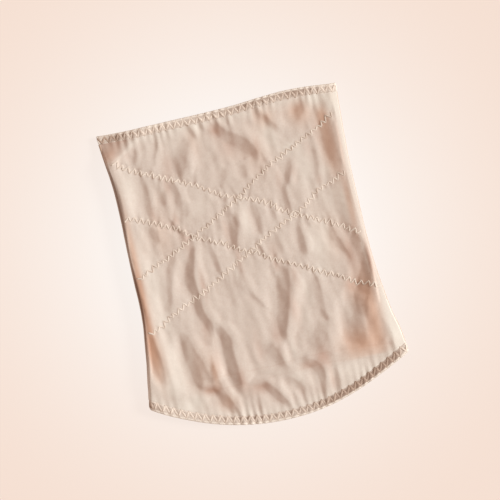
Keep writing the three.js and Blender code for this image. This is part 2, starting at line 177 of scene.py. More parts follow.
# Folds: each climbs from a hollow on its left to a crest on its right, seen along its path from the top down.
# steep: slope at its middle, in hundredths; below 0 it goes down instead. left, right: how far the cloth takes to
# level out. path: (across, along, width of the climb). Widths and reaches are hundredths of half the width.
Fold = namedtuple("Fold", "steep left right path")
FOLDS = [
    # upper left
    Fold(28, 14, 4, [(-27, 89, 3), (-29.5, 82, 7), (-33.5, 76, 11), (-37, 70, 13), (-39, 63, 9), (-40, 56, 4)]),
    Fold(34, 6, 5, [(-28, 97, 2), (-26, 91, 3.5), (-23, 86, 3.5), (-21, 81, 2)]),
    Fold(48, 5, 4, [(-15.6, 98, 3), (-15.6, 91, 3.6), (-14, 84, 2.5)]),
    Fold(20, 6, 5, [(-24, 50, 2), (-22, 43, 3.5), (-19.5, 37, 3), (-19, 31, 2)]),
    Fold(28, 5, 4, [(-16, 49, 2), (-12.5, 44, 3.5), (-10, 39, 2.5)]),
    Fold(-10, 5, 5, [(-26, 62, 3), (-18, 64.5, 4), (-11, 68, 4), (-5, 72, 3)]),
    Fold(18, 7, 5, [(-6, 64, 3), (-6.5, 58, 5), (-10, 52, 4), (-12, 46, 3)]),
    Fold(16, 6, 6, [(7, 63, 4), (8, 57, 7), (7, 50, 4)]),
    Fold(34, 6, 5, [(-49, 97, 2.5), (-50, 91, 3), (-52, 84, 3), (-56, 75, 3), (-57, 69, 2)]),
    Fold(24, 6, 4, [(-68, 86, 3), (-70, 80, 4), (-73, 73, 3)]),
    Fold(22, 4, 4, [(-38, 97, 2), (-38.5, 90, 2)]),
    Fold(44, 4, 3, [(-9, 97, 2), (-9, 92, 2.5), (-8, 87, 2)]),
    Fold(42, 4, 3, [(-3, 97, 2), (-3.5, 91, 2.5), (-3, 86, 2)]),
    Fold(28, 4, 3, [(-20, 97, 2), (-20, 91, 2)]),
    Fold(30, 4, 4, [(36, 98, 2), (36, 92, 2.5), (37, 86, 2)]),
    # upper middle
    Fold(38, 13, 9, [(-6, 95, 3), (-5, 88, 6), (-1, 82.5, 9), (7, 77.5, 11), (14, 72, 11), (19, 66, 8), (18.5, 58, 3)]),
    Fold(26, 4, 4, [(23, 67, 2), (26, 59, 2.5), (28, 54, 2)]),
    Fold(44, 4, 4, [(3, 98, 2.5), (3.5, 91, 3.5), (5, 85, 2)]),
    Fold(16, 6, 6, [(22, 60, 3), (22, 52, 4), (21, 45, 3)]),
    # upper right
    Fold(32, 7, 7, [(24, 98, 3.5), (28, 91, 4.5), (34, 84, 5), (41, 76, 4), (43, 73, 2)]),
    Fold(26, 9, 5, [(65, 97, 5), (63, 91, 7), (58, 85, 8), (51, 80, 6)]),
    Fold(18, 10, 4, [(74, 88, 2), (74, 82, 5), (76, 74, 10), (76.5, 64, 11), (77, 55, 10), (79.5, 48, 7), (81, 42, 5)]),
    Fold(7, 6, 3, [(82, 46, 4), (81, 35, 5), (80.5, 22, 5), (81, 8, 4)]),
    Fold(26, 8, 5, [(63, 66, 3), (63, 58, 4), (62.5, 49, 4), (59, 40, 3)]),
    Fold(36, 9, 5, [(44, 61, 3), (42, 53, 5), (39, 46, 5), (35, 41, 4), (34.5, 35, 5), (35.5, 26, 5), (36, 20, 3)]),
    # left, between the upper rows
    Fold(30, 9, 5, [(-65, 68, 2), (-67, 57, 4.5), (-67.5, 47, 6), (-66, 38, 5.5)]),
    Fold(24, 6, 6, [(-53, 58, 3), (-55, 51, 6), (-56, 44, 4)]),
    Fold(32, 8, 6, [(-49, 65, 4), (-45.5, 55, 6), (-44.5, 47, 6), (-47, 39, 4)]),
    Fold(22, 7, 8, [(-40, 48, 4), (-41, 41, 7), (-43, 34, 4)]),
    Fold(44, 5, 4, [(-56, 40, 2), (-51, 31, 3), (-45, 22, 3)]),
    Fold(30, 8, 5, [(-71, 38, 4), (-68, 30, 6), (-65, 22, 4)]),
    Fold(-10, 8, 8, [(-80, 74, 8), (-79, 55, 10), (-79, 36, 8)]),
    # centre
    Fold(38, 8, 8, [(-13, 42, 3), (-10, 34, 6), (-8, 26, 8), (-9.5, 18, 7), (-10.5, 12, 5), (-11, 5, 5)]),
    Fold(24, 4, 6, [(0, 42, 2), (-3, 35, 4), (-4.5, 28, 4), (-4, 20, 2)]),
    Fold(30, 10, 6, [(-11, 8, 3), (-10.5, -3, 4), (-10.5, -10, 6), (-8.5, -17, 6), (-5, -21, 4), (1, -28, 3),
         (6, -35, 2)]),
    Fold(10, 10, 6, [(-20, -2, 8), (-19, -14, 14), (-15, -26, 8)]),
    Fold(20, 6, 6, [(-19.5, 38, 3), (-18.5, 29, 4), (-19, 22, 3)]),
    Fold(26, 8, 6, [(-29.5, 29, 3), (-29.5, 18, 4), (-28, 9, 5), (-26, -1, 4), (-25, -8, 3)]),
    Fold(24, 6, 7, [(9, 41, 4), (10.5, 30, 6), (11, 18, 5), (10, 12, 3)]),
    Fold(22, 5, 5, [(22, 38, 3), (23, 30, 4), (23, 20, 3)]),
    Fold(22, 4, 3, [(4, 16, 2), (7, 9, 3.5), (10.5, 2, 3), (12, -3, 2)]),
    Fold(18, 7, 4, [(11.5, -1, 3), (13, -7, 4), (13, -14, 3)]),
    Fold(30, 3, 3, [(18.5, 4, 2), (17.5, -2, 3), (17, -7, 3)]),
    Fold(9, 7, 6, [(20, 17, 3), (21.5, 9, 4), (25, 0, 3)]),
    Fold(-12, 5, 5, [(3, 40, 4), (3, 26, 5), (5, 12, 4)]),
    Fold(36, 12, 5, [(38.5, 22, 2), (39, 13, 4.5), (39.5, 7, 6.5), (39.5, 1, 7), (42, -6, 3)]),
    Fold(26, 4, 4, [(45.5, 24, 2), (46.5, 18, 3.5), (49, 12, 2)]),
    Fold(34, 7, 6, [(64, 24, 3), (63.5, 14, 4), (64, 5, 6), (66.5, 0, 7), (70, -6, 4), (74, -14, 3)]),
    Fold(18, 6, 4, [(75, 14, 2.5), (79, 3, 4), (82.5, -4, 5)]),
    # left of the middle
    Fold(46, 12, 6, [(-40, 22, 3), (-43, 14, 5), (-46, 7, 7), (-48.5, 0, 9), (-48.5, -6, 9), (-46.5, -12, 6),
         (-47, -19, 7), (-46, -25, 7), (-43, -31, 7), (-42, -36, 5), (-44, -44, 3)]),
    Fold(24, 4, 4, [(-39, 4, 2), (-40, -6, 3), (-39.5, -14, 2.5), (-39, -20, 2)]),
    Fold(27, 9, 7, [(-54, 19, 3), (-58, 13, 5), (-62, 5, 7), (-65, -4, 5), (-67, -13, 4), (-70, -20, 3)]),
    Fold(-8, 8, 8, [(-79, 24, 8), (-78, 0, 10), (-77, -24, 9)]),
    # right, under the lowest row
    Fold(38, 10, 4, [(85, -1, 3), (84.5, -9, 5), (83.5, -16, 8), (81, -24, 11), (78, -30, 12), (75, -36, 12),
         (73.5, -43, 9), (73.5, -52, 5)]),
    Fold(10, 6, 5, [(83, -30, 6), (80, -42, 9), (80, -56, 10), (82, -70, 5)]),
    Fold(34, 10, 6, [(68, -27, 5), (67, -40, 13), (67, -52, 15), (66, -61, 14), (65, -69, 6)]),
    Fold(42, 14, 10, [(24, -1, 4), (22, -8, 9), (20.5, -14, 11), (18, -23, 11), (15.5, -32, 10), (12.5, -41, 9),
         (11, -48, 6), (12, -55, 3)]),
    Fold(20, 14, 12, [(43, -11, 3), (43.5, -22, 6), (43, -34, 8), (43, -45, 9), (39.5, -53, 13), (33, -60, 15),
         (28, -67, 10)]),
    Fold(24, 6, 5, [(41, -36, 3), (44, -42, 4), (47, -47, 2.5)]),
    Fold(32, 10, 4, [(-2, -47, 7), (-1, -54, 10), (2, -60, 10), (5, -65, 7), (9, -71, 3)]),
    # lower left
    Fold(44, 4, 10, [(-88, -25, 6), (-87.5, -36, 9), (-86, -47, 9), (-85, -58, 6), (-84.5, -68, 3)]),
    Fold(36, 9, 5, [(-64, -31, 5), (-62, -40, 9), (-60, -48, 12), (-57, -56, 14), (-55.5, -62, 15), (-53, -69, 13),
         (-49, -75, 7)]),
    Fold(50, 8, 4, [(-46, -50, 2.5), (-46.5, -60, 5), (-46, -67, 7), (-45.5, -73, 9), (-43, -78.5, 9),
         (-39.5, -84, 8), (-36.5, -89, 5), (-34.5, -96, 3)]),
    Fold(38, 5, 5, [(-64, -67, 2), (-56, -70.5, 3.5), (-48, -73.5, 3.5), (-43, -77, 3)]),
    Fold(44, 8, 4, [(-39, -29, 4), (-35.5, -36, 7), (-32, -43, 9), (-32, -51, 9), (-31.5, -59, 10), (-31.5, -67, 11),
         (-30, -74, 9), (-26, -79, 4)]),
    Fold(46, 8, 5, [(-29, -72, 3), (-20, -74, 3.5), (-13, -75, 5), (-7, -79.5, 7), (-3, -84.5, 7), (2, -90, 5),
         (5, -96, 3)]),
    Fold(28, 4, 5, [(-17.5, -79, 2.5), (-18, -87, 3.5), (-19, -96, 2.5)]),
    Fold(32, 7, 6, [(3, -72, 4), (9, -77, 6), (15, -82, 5), (19.5, -86, 3)]),
    Fold(30, 3, 4, [(8, -82, 2), (9, -88, 3), (9, -96, 2.5)]),
    Fold(26, 3, 4, [(16, -83, 2), (16, -89, 2.5), (17, -95, 2)]),
    Fold(46, 9, 5, [(16, -64, 3), (22, -67, 6), (28, -69.5, 8), (32, -74, 8), (32.5, -81, 5.5), (32, -89, 4),
         (32.5, -97, 3)]),
    Fold(32, 6, 4, [(43, -70, 3), (43.5, -79, 4), (43, -89, 4), (43, -96, 3)]),
    Fold(24, 4, 4, [(88, -64, 3), (90, -70, 4), (92, -78, 3)]),
    # long strips that fall to the right
    Fold(-12, 8, 8, [(43, 90, 8), (42, 80, 10), (38, 66, 8)]),
    Fold(-12, 8, 8, [(50, 48, 8), (50, 20, 10), (50, -8, 8)]),
    Fold(-16, 6, 6, [(37, -12, 6), (29, -26, 8), (22, -40, 8), (16, -52, 8), (11, -62, 7), (14, -69, 6), (21, -77, 6),
         (26, -86, 4)]),
    Fold(-16, 4, 4, [(-39, -44, 3), (-39, -60, 4), (-38, -71, 4), (-33, -79, 4), (-28.5, -88, 4)]),
    Fold(-16, 8, 8, [(-75, -36, 8), (-74, -52, 10), (-72, -72, 10), (-70, -88, 8)]),
]

# Unevenness of the front: (height, seed, number of waves, shortest, longest, times across, times along).
UNEVEN_ROWS = [
    (0.32, 11, 9, 30, 70, 1.0, 1.0), (0.13, 13, 12, 16, 34, 2.0, 0.6), (0.05, 12, 12, 7, 14, 1.0, 1.0),
]

# Thin creases pressed in by packing, by (across, along) down each.
CREASES = [
    [(-62, -64.5), (-30, -65.5), (0, -65.5), (37, -64.5), (64, -66), (92, -68)],
    [(-53, -73), (-20, -72.5), (10, -72), (38, -71), (71, -74), (86, -76)],
    [(-40.5, -26), (-41, -38), (-41.5, -52)],
]

# Rows of zigzag stitching that cross the front, by (across, along) down each row.
STITCH_ROWS = [
    [(-87, 79), (-75, 72), (-60, 66), (-44, 60), (-37, 57), (-22, 50), (-7, 43), (1, 41), (16, 36), (33, 26),
     (42, 22), (53, 18), (65, 13), (76, 7), (83, 3)],
    [(82, 79), (65, 72), (46, 64), (31, 58), (16, 51), (1, 42), (-14, 35), (-33, 26), (-41, 23), (-52, 18),
     (-71, 11), (-84, 6), (-88, 4)],
    [(-87, 43), (-75, 40), (-60, 34), (-52, 31), (-41, 24), (-29, 19), (-14, 13), (-5, 8), (3, 6), (12, 1),
     (31, -7), (46, -14), (61, -20), (76, -27), (81, -28), (89, -32)],
    [(82, 42), (72, 39), (61, 36), (50, 29), (38, 23), (16, 15), (4, 9), (-7, 4), (-22, -3), (-37, -10),
     (-56, -17), (-67, -21), (-78, -27), (-88, -30)],
]


def smooth(t):
    """An eased step from 0 to 1."""
    t = np.clip(t, 0, 1)
    return t * t * (3 - 2 * t)


def smooth_table(xs, ys, at):
    """A smooth curve through the rows of a table."""
    xs, ys = np.asarray(xs, float), np.asarray(ys, float)
    slope = np.gradient(ys, xs)
    at = np.clip(at, xs[0], xs[-1])
    k = np.clip(np.searchsorted(xs, at) - 1, 0, len(xs) - 2)
    step = xs[k + 1] - xs[k]
    t = (at - xs[k]) / step
    start = (2 * t ** 3 - 3 * t ** 2 + 1) * ys[k] + (t ** 3 - 2 * t ** 2 + t) * step * slope[k]
    return start + (3 * t ** 2 - 2 * t ** 3) * ys[k + 1] + (t ** 3 - t ** 2) * step * slope[k + 1]


def curve(rows, at, column=1):
    """A smooth curve through one column of a table, over its first."""
    rows = np.asarray(rows, float)
    return smooth_table(rows[:, 0], rows[:, column], at)


def half_width(y):
    down = (TOP_Y - y) / SIDE_LENGTH
    top = curve(SIDE_ROWS, down, 1) * (TOP_WIDTH - WAIST_WIDTH)
    hem = curve(SIDE_ROWS, down, 2) * (HEM_WIDTH - WAIST_WIDTH)
    return (WAIST_WIDTH + top + hem) / 2


def middle_x(y):
    return curve(SIDE_ROWS, (TOP_Y - y) / SIDE_LENGTH, 3) * WAIST_WIDTH


def from_side(x, y):
    """How far in from the nearer side a place lies."""
    return half_width(y) - np.abs(x - middle_x(y))


def roll_reaches(y):
    """Reach of the left and of the right roll at a height: the left one is tight and the right one wide."""
    return (curve(ROLL_ROWS, y / UNIT_Y, column) for column in (1, 2))


def roll_reach(x, y):
    left, right = roll_reaches(y)
    return np.where(x < 0, left, right)


def roll_rise(inward, right):
    """How far up a roll the cloth is at a share of its reach: the left one is round, the right one a soft bevel."""
    round_one = np.clip(1 - (1 - inward) ** LEFT_ROUND, 0, 1) ** (1 / LEFT_ROUND)
    edge = np.sqrt(np.clip(1 - (1 - np.clip(inward / RIGHT_EDGE, 0, 1)) ** 2, 0, 1))
    return np.where(right, edge * (1 - RIGHT_BEVEL) + inward * RIGHT_BEVEL, round_one)


def top_edge(across):
    return TOP_Y + curve(TOP_ROWS, across) * TOP_RISE


def hem_edge(x, inset=0.0):
    arc = HEM_CENTRE_Y - np.sqrt(np.maximum((HEM_RADIUS - inset) ** 2 - x ** 2, 0))
    return arc - curve(HEM_ROWS, x / HALF_WIDTH)


def body_share(x, y):
    """From 0 at the bands to 1 where the tube has its full height."""
    return smooth(np.minimum(top_edge(x / HALF_WIDTH) - y, y - hem_edge(x)) / BAND_EASE)


def half_height(share):
    """Half the tube's height, at a share of the way from the bands' height to the full one."""
    return (BAND_HEIGHT + (BODY_HEIGHT - BAND_HEIGHT) * share) / 2


def run_along(points):
    """How far along a line each of its points lies."""
    return np.concatenate([[0], np.cumsum(np.hypot(*np.diff(points[:, :2], axis=0).T))])


def fine_path(points, step):
    """Points along a smooth line through charted ones, with every column of the chart carried along."""
    chord = run_along(points)
    at = np.linspace(0, chord[-1], max(3, int(chord[-1] / step) + 1))
    return np.stack([smooth_table(chord, column, at) for column in points.T], 1)


def near_path(path, x, y, room):
    """Which points lie in the box round a path, widened by some room."""
    low, high = path[:, :2].min(0) - room, path[:, :2].max(0) + room
    return (x > low[0]) & (x < high[0]) & (y > low[1]) & (y < high[1])


def beside_path(path, x, y):
    """For each point: how far along the path it lies, how far to the path's left or right, and the nearest row."""
    tangent = np.gradient(path[:, :2], axis=0)
    tangent /= np.hypot(*tangent.T)[:, None]
    run = run_along(path)
    near = ((x[:, None] - path[:, 0]) ** 2 + (y[:, None] - path[:, 1]) ** 2).argmin(1)
    dx, dy = x - path[near, 0], y - path[near, 1]
    ahead = tangent[near, 0] * dx + tangent[near, 1] * dy
    off = -tangent[near, 1] * dx + tangent[near, 0] * dy
    return run[near] + ahead, off, near, run[-1]


# A fold's climb, which steepens to the right and ends short.
CLIMB_AT = np.linspace(-1, 1, 81)
CLIMB = (((1 + CLIMB_AT) / 2) ** 0.35 * (1 - smooth((CLIMB_AT - 0.55) / 0.45))).cumsum()
CLIMB = CLIMB / CLIMB[-1] - 0.5


def fold_lift(fold, x, y):
    """How far one fold lifts the cloth at each place."""
    path = fine_path(np.array(fold.path, float) * (UNIT_X, UNIT_Y, UNIT_X), FOLD_STEP)
    room = max(fold.left, fold.right) * UNIT_X + path[:, 2].max() * (1 + abs(fold.steep) / 100 / FALL)
    lift = np.zeros(x.shape)
    here = near_path(path, x, y, room)
    if not here.any():
        return lift
    run, off, near, whole = beside_path(path, x[here], y[here])
    half = path[near, 2] / 2
    rise = fold.steep / 100 * path[near, 2] * FOLD_GAIN
    fade = min(0.3 * whole, FOLD_FADE)
    ends = smooth(run / fade) * smooth((whole - run) / fade)
    climb = np.interp(off / half + FOLD_SHIFT, CLIMB_AT, CLIMB)
    reach = np.maximum(np.where(off < 0, fold.left, fold.right) * UNIT_X, np.abs(rise) * EASED_SLOPE / FALL)
    level = np.clip((np.abs(off) - half) / reach, 0, 1)
    lift[here] = rise * ends * climb * (1 + np.cos(math.pi * level)) / 2
    return lift


def waves(x, y, seed, count, short, long):
    """A gentle unevenness: waves in chance directions, with lengths between short and long."""
    rng = np.random.default_rng(seed)
    total = np.zeros(x.shape)
    for _ in range(count):
        way = rng.uniform(0, 2 * math.pi)
        size = rng.uniform(short, long)
        total += np.sin(2 * math.pi * (x * math.cos(way) + y * math.sin(way)) / size + rng.uniform(0, 6.28))
    return total / math.sqrt(count)


def row_path(row):
    return fine_path(np.array(row, float) * (UNIT_X, UNIT_Y), PATH_STEP)


ROW_PATHS = [row_path(row) for row in STITCH_ROWS]
# How tightly each row is drawn in at its first and at its last end.
ROW_DRAW = [(1.5, 0.9), (0.35, 0.5), (1.6, 0.55), (0.8, 0.7)]


def pucker(x, y):
    """How the stitch rows draw the cloth in: a shallow channel with a small ridge between stitches."""
    total = np.zeros(x.shape)
    for path, (first, last) in zip(ROW_PATHS, ROW_DRAW):
        here = near_path(path, x, y, 12)
        run, off, _, whole = beside_path(path, x[here], y[here])
        fade = smooth(run / 10) * smooth((whole - run) / 10)
        channel = -CHANNEL_DEPTH * np.exp(-(off / CHANNEL_WIDTH) ** 2)
        swing = np.where(off > 0, 0, ROW_PITCH / 2)
        along = (run + swing + ROW_PITCH / 2) % ROW_PITCH - ROW_PITCH / 2
        dent = -DENT_DEPTH * np.exp(-(along ** 2 + (np.abs(off) - ROW_WIDTH / 2) ** 2) / DENT_AREA)
        total[here] += fade * (first + (last - first) * run / whole) * (channel + dent)
    return total


def tufts(x, y):
    """Short creases that the stitch rows throw off above and below."""
    rng = np.random.default_rng(51)
    total = np.zeros(x.shape)
    for path, (first, last) in zip(ROW_PATHS, ROW_DRAW):
        whole = PATH_STEP * len(path)
        for way in (1, -1):
            at = rng.uniform(4, 12)
            while at < whole - 8:
                here = path[int(at / PATH_STEP)]
                wide, tall = rng.uniform(1.8, 3.4), rng.uniform(5, 12)
                lean = rng.normal(0, 0.25)
                rise = wide * rng.uniform(0.06, 0.26) * (first + (last - first) * at / whole) ** 0.5
                near = (np.abs(x - here[0]) < 4 * wide + 20) & ((y - here[1]) * way > -4)
                near &= (y - here[1]) * way < 5 * tall
                up = (y[near] - here[1]) * way
                off = (x[near] - here[0] - lean * up) / wide
                fade = smooth((up + 3) / 5) * np.exp(-np.maximum(up, 0) / tall)
                total[near] += rise * off * np.exp(-off ** 2) * fade
                at += rng.uniform(5, 15)
    return total


def creases(x, y):
    """How far each place lies in a pressed crease, from 0 to 1."""
    total = np.zeros(x.shape)
    for crease in CREASES:
        path = row_path(crease)
        here = near_path(path, x, y, 5)
        run, off, _, whole = beside_path(path, x[here], y[here])
        total[here] += np.exp(-(off / CREASE_WIDTH) ** 2) * smooth(run / 12) * smooth((whole - run) / 12)
    return total


def layers(x, y):
    """The crossing strips sewn under the front make it a little thicker between each pair of rows."""
    def inside(upper, lower):
        rows = [np.array(sorted(row), float) * (UNIT_X, UNIT_Y) for row in (upper, lower)]
        above, below = (np.interp(x, row[:, 0], row[:, 1]) for row in rows)
        return smooth((above - y + 1.5) / 3) * smooth((y - below + 1.5) / 3)
    return LAYER_STEP * (inside(STITCH_ROWS[0], STITCH_ROWS[2]) + inside(STITCH_ROWS[1], STITCH_ROWS[3]))


def gathers(x, from_band, seed):
    """Small gathers that the elastic draws into the cloth next to it."""
    bend = waves(x, from_band * 0, seed, 5, 30, 90)
    wave = np.cos(2 * math.pi * x / ZIGZAG_PITCH + 1.3 * bend)
    strength = 0.55 + 0.45 * waves(x, from_band * 0, seed + 1, 4, 25, 70)
    return GATHER_HEIGHT * wave * strength * np.exp(-np.maximum(from_band, 0) / GATHER_REACH)


def past_corner(x, y):
    """How far a place lies past the crease of the top left corner."""
    (ax, ay), (bx, by) = np.array(CORNER_CREASE) * (UNIT_X, UNIT_Y)
    return ((x - ax) * (by - ay) - (y - ay) * (bx - ax)) / math.hypot(bx - ax, by - ay)


def corner_drop(x, y):
    """The cloth of the top left corner falls away behind a crease."""
    past = past_corner(x, y)
    ridge = CORNER_RIDGE * np.exp(-((past + 1) / 5) ** 2) * smooth((x / UNIT_X + 92) / 5.5)
    return ridge - CORNER_DROP * smooth(past / CORNER_REACH)


def front_relief(x, y):
    """Height of the front's outer face over the level tube."""
    shape = x.shape
    x, y = x.ravel(), y.ravel()
    from_crest = from_side(x, y) - roll_reach(x, y)
    to_top = top_edge(x / HALF_WIDTH) - y - BAND_WIDTH
    to_hem = y - hem_edge(x) - BAND_WIDTH
    from_band = np.minimum(to_top, to_hem)
    body = body_share(x, y)
    in_crest = smooth(from_crest / CREST_FADE)
    in_band = FOLD_IN_BAND + (1 - FOLD_IN_BAND) * smooth((from_band + 4) / BAND_FADE)
    lift = -SAG * smooth(from_crest / SAG_REACH) * body
    lift += in_crest * in_band * sum(fold_lift(fold, x, y) for fold in FOLDS)
    for height, seed, count, short, long, times_x, times_y in UNEVEN_ROWS:
        lift += height * in_crest * body * waves(x * times_x, y * times_y, seed, count, short, long)
    lift += in_crest * smooth(from_band / 6) * tufts(x, y)
    lift += in_crest * smooth(from_band / 3) * (pucker(x, y) + layers(x, y))
    lift += in_crest * gathers(x, to_top, 21) * (to_top < 60)
    lift += in_crest * gathers(x, to_hem, 22) * (to_hem < 60)
    lift += corner_drop(x, y) - CREASE_DEPTH * in_crest * creases(x, y)
    return lift.reshape(shape)


def back_relief(x, y):
    """Height of the back's outer face, which lies on the surface below, over the level tube."""
    lift = np.clip(0.25 + 0.25 * waves(x, y, 31, 9, 35, 90), 0, 0.9)
    return lift * smooth((from_side(x, y) - BACK_REACH) / 10)


def lane(u):
    """The six stretches round the tube: left roll, front, right roll, right roll below, back, left roll below."""
    u = np.asarray(u, float) % 6
    k = np.minimum(u.astype(int), 5)
    t = u - k
    across = np.choose(k, [-1 + 0 * t, 2 * t - 1, 1 + 0 * t, 1 + 0 * t, 1 - 2 * t, -1 + 0 * t])
    turn = np.choose(k, [t, 1 + 0 * t, 1 - t, t, 1 + 0 * t, 1 - t])
    return across, turn, np.where(k < 3, 1.0, -1.0)


def tube(u, share, inset, depth):
    """Points of the tube at lane u: share runs from 0 at the top to 1 at the hem, inset is kept from both edges
    and depth goes in from the outer face."""
    u, share, inset, depth = np.broadcast_arrays(*(np.asarray(v, float) for v in (u, share, inset, depth)))
    across, turn, face = lane(u)
    side = np.where(across < 0, -1.0, 1.0)
    angle = turn * math.pi / 2
    out = np.cos(angle)
    top_y = top_edge(across) - inset
    y = top_y + (CORNER_Y - top_y) * share
    for _ in range(6):  # both edges curve, so x and y settle together
        half = half_width(y)
        left, right = (np.where(face > 0, reach, BACK_REACH) for reach in roll_reaches(y))
        reach = np.where(across < 0, left, right)
        flat = -half + left + (across + 1) / 2 * (2 * half - left - right)
        x = middle_x(y) + flat + side * (reach - depth) * out
        y = top_y + (hem_edge(x, inset) - top_y) * share
    edge = np.minimum(share, 1 - share) * SIDE_LENGTH
    radius = half_height(smooth(edge / BAND_EASE))
    rise = np.where(face < 0, np.sin(angle), roll_rise(1 - out, across > 0))
    relief = np.where(face > 0, front_relief(x, y), back_relief(x, y))
    z = radius + (face * (radius - depth) + relief) * rise
    return np.stack([x, y, np.maximum(z, 0)], -1)


def front_z(x, y):
    """Height of the front's outer face, as a function of the place seen from above."""
    radius = half_height(body_share(x, y))
    rise = roll_rise(np.clip(from_side(x, y) / roll_reach(x, y), 0, 1), x > 0)
    return radius + (radius + front_relief(x, y)) * rise


def add_mesh(name, points, faces, material, uv=None, tint=None):
    """A mesh object from points in millimetres, with the weave's own coordinates and a tint for each point."""
    mesh = bpy.data.meshes.new(name)
    mesh.from_pydata((np.asarray(points) / 1000).tolist(), [], [list(f) for f in faces])
    mesh.polygons.foreach_set("use_smooth", [True] * len(mesh.polygons))
    corner = np.empty(len(mesh.loops), int)
    mesh.loops.foreach_get("vertex_index", corner)
    if uv is not None:
        mesh.uv_layers.new(name="weave").data.foreach_set("uv", (np.asarray(uv)[corner] / 100).ravel())
    if tint is not None:
        shade = mesh.color_attributes.new(name="tint", type="FLOAT_COLOR", domain="POINT")
        shade.data.foreach_set("color", np.asarray(tint, float).ravel())
    mesh.materials.append(material)
    mesh.validate()
    piece = bpy.data.objects.new(name, mesh)
    bpy.context.scene.collection.objects.link(piece)
    return piece


def grid_faces(rows, columns, start=0, flip=False, around=False):
    """Faces of a grid of points, closed from its last column to its first when it goes around."""
    r, c = np.meshgrid(np.arange(rows - 1), np.arange(columns if around else columns - 1), indexing="ij")
    a = r * columns + c
    b = r * columns + (c + 1) % columns
    faces = np.stack([a, a + columns, b + columns, b], -1).reshape(-1, 4) + start
    return (faces[:, ::-1] if flip else faces).tolist()


def rim(rows, columns, start=0):
    """Numbers of the border points of a grid, once round."""
    top = [start + k for k in range(columns)]
    right = [start + r * columns + columns - 1 for r in range(1, rows)]
    low = [start + (rows - 1) * columns + k for k in range(columns - 2, -1, -1)]
    left = [start + r * columns for r in range(rows - 2, 0, -1)]
    return top + right + low + left


def sheet_of_cloth(name, lane_start, steps, front):
    """A closed sheet from seam to seam: a fine outer face, an inner face half as fine, and a rim that joins them."""
    roll, wide, tall = steps
    lanes = np.concatenate([
        np.linspace(lane_start + SEAM_SHARE, lane_start + 1, roll + 1)[:-1],
        np.linspace(lane_start + 1, lane_start + 2, wide + 1),
        np.linspace(lane_start + 2, lane_start + 3 - SEAM_SHARE, roll + 1)[1:],
    ])
    grid_u, grid_s = np.meshgrid(lanes, np.linspace(0, 1, tall + 1))
    inset = BAND_WIDTH - CLOTH_IN_BAND
    edge = np.minimum(grid_s, 1 - grid_s) * SIDE_LENGTH
    tuck = 0.3 * (1 - smooth(edge / 2.0))
    outer = tube(grid_u, grid_s, inset, tuck)
    inner = tube(grid_u[::2, ::2], grid_s[::2, ::2], inset, CLOTH_WALL + tuck[::2, ::2])
    (rows, columns), (few_rows, few_columns) = outer.shape[:2], inner.shape[:2]
    start = rows * columns
    faces = grid_faces(rows, columns) + grid_faces(few_rows, few_columns, start, True)
    fine, coarse = rim(rows, columns), rim(few_rows, few_columns, start)
    for k in range(len(coarse)):
        a, b, c = fine[2 * k], fine[2 * k + 1], fine[(2 * k + 2) % len(fine)]
        p, q = coarse[k], coarse[(k + 1) % len(coarse)]
        faces += [(a, b, p), (b, q, p), (b, c, q)]
    across = np.concatenate([np.zeros((rows, 1)), np.linalg.norm(np.diff(outer, axis=1), axis=2)], 1).cumsum(1)
    across -= across[:, columns // 2][:, None]
    uv = np.stack([across, outer[..., 1]], -1)
    points, uv = (np.concatenate([a.reshape(-1, a.shape[2]), b.reshape(-1, b.shape[2])])
                  for a, b in ((outer, inner), (uv, uv[::2, ::2])))
    # The back takes painted shade on its right side.
    tint = cloth_tint(points, outer) if front else in_red(0.6 * smooth((points[:, 0] - 0.8 * HALF_WIDTH) / 8))
    return add_mesh(name, points, faces, knit, uv, tint)


def blur(values, times):
    """Values of a grid, evened out with their neighbours a number of times."""
    for _ in range(times):
        padded = np.pad(values, 1, mode="edge")
        values = (padded[:-2, 1:-1] + padded[2:, 1:-1] + padded[1:-1, :-2] + padded[1:-1, 2:] + 4 * values) / 8
    return values


# Painted warm light where light comes through one layer: (across, along, reach across, reach along, share).
WARM_LIGHT_SPOTS = [
    (80, -46, 6, 24, 0.8), (75, 62, 6, 22, 0.65), (80.5, 22, 3, 20, 0.55), (66, -64, 14, 10, 0.85),
    (58, 85, 9, 8, 0.6), (85, 91, 2.5, 5, 0.4), (-88, 83, 5, 5, 0.35), (32, 86, 7, 7, 0.5), (-62, 30, 9, 16, 0.25),
    (-54, -58, 10, 16, 0.2), (62, 6, 10, 16, 0.25), (-24, 82, 6, 10, 0.25), (20, 64, 12, 14, 0.2),
    (-86.5, 6, 2.8, 38, 1.0), (-87, -44, 5, 17, 0.9), (-46, -62, 2.5, 9, 0.6), (-40, -82, 7, 7, 0.4),
    (72, -32, 8, 10, 0.4), (74, 80, 4, 6, 0.5),
]
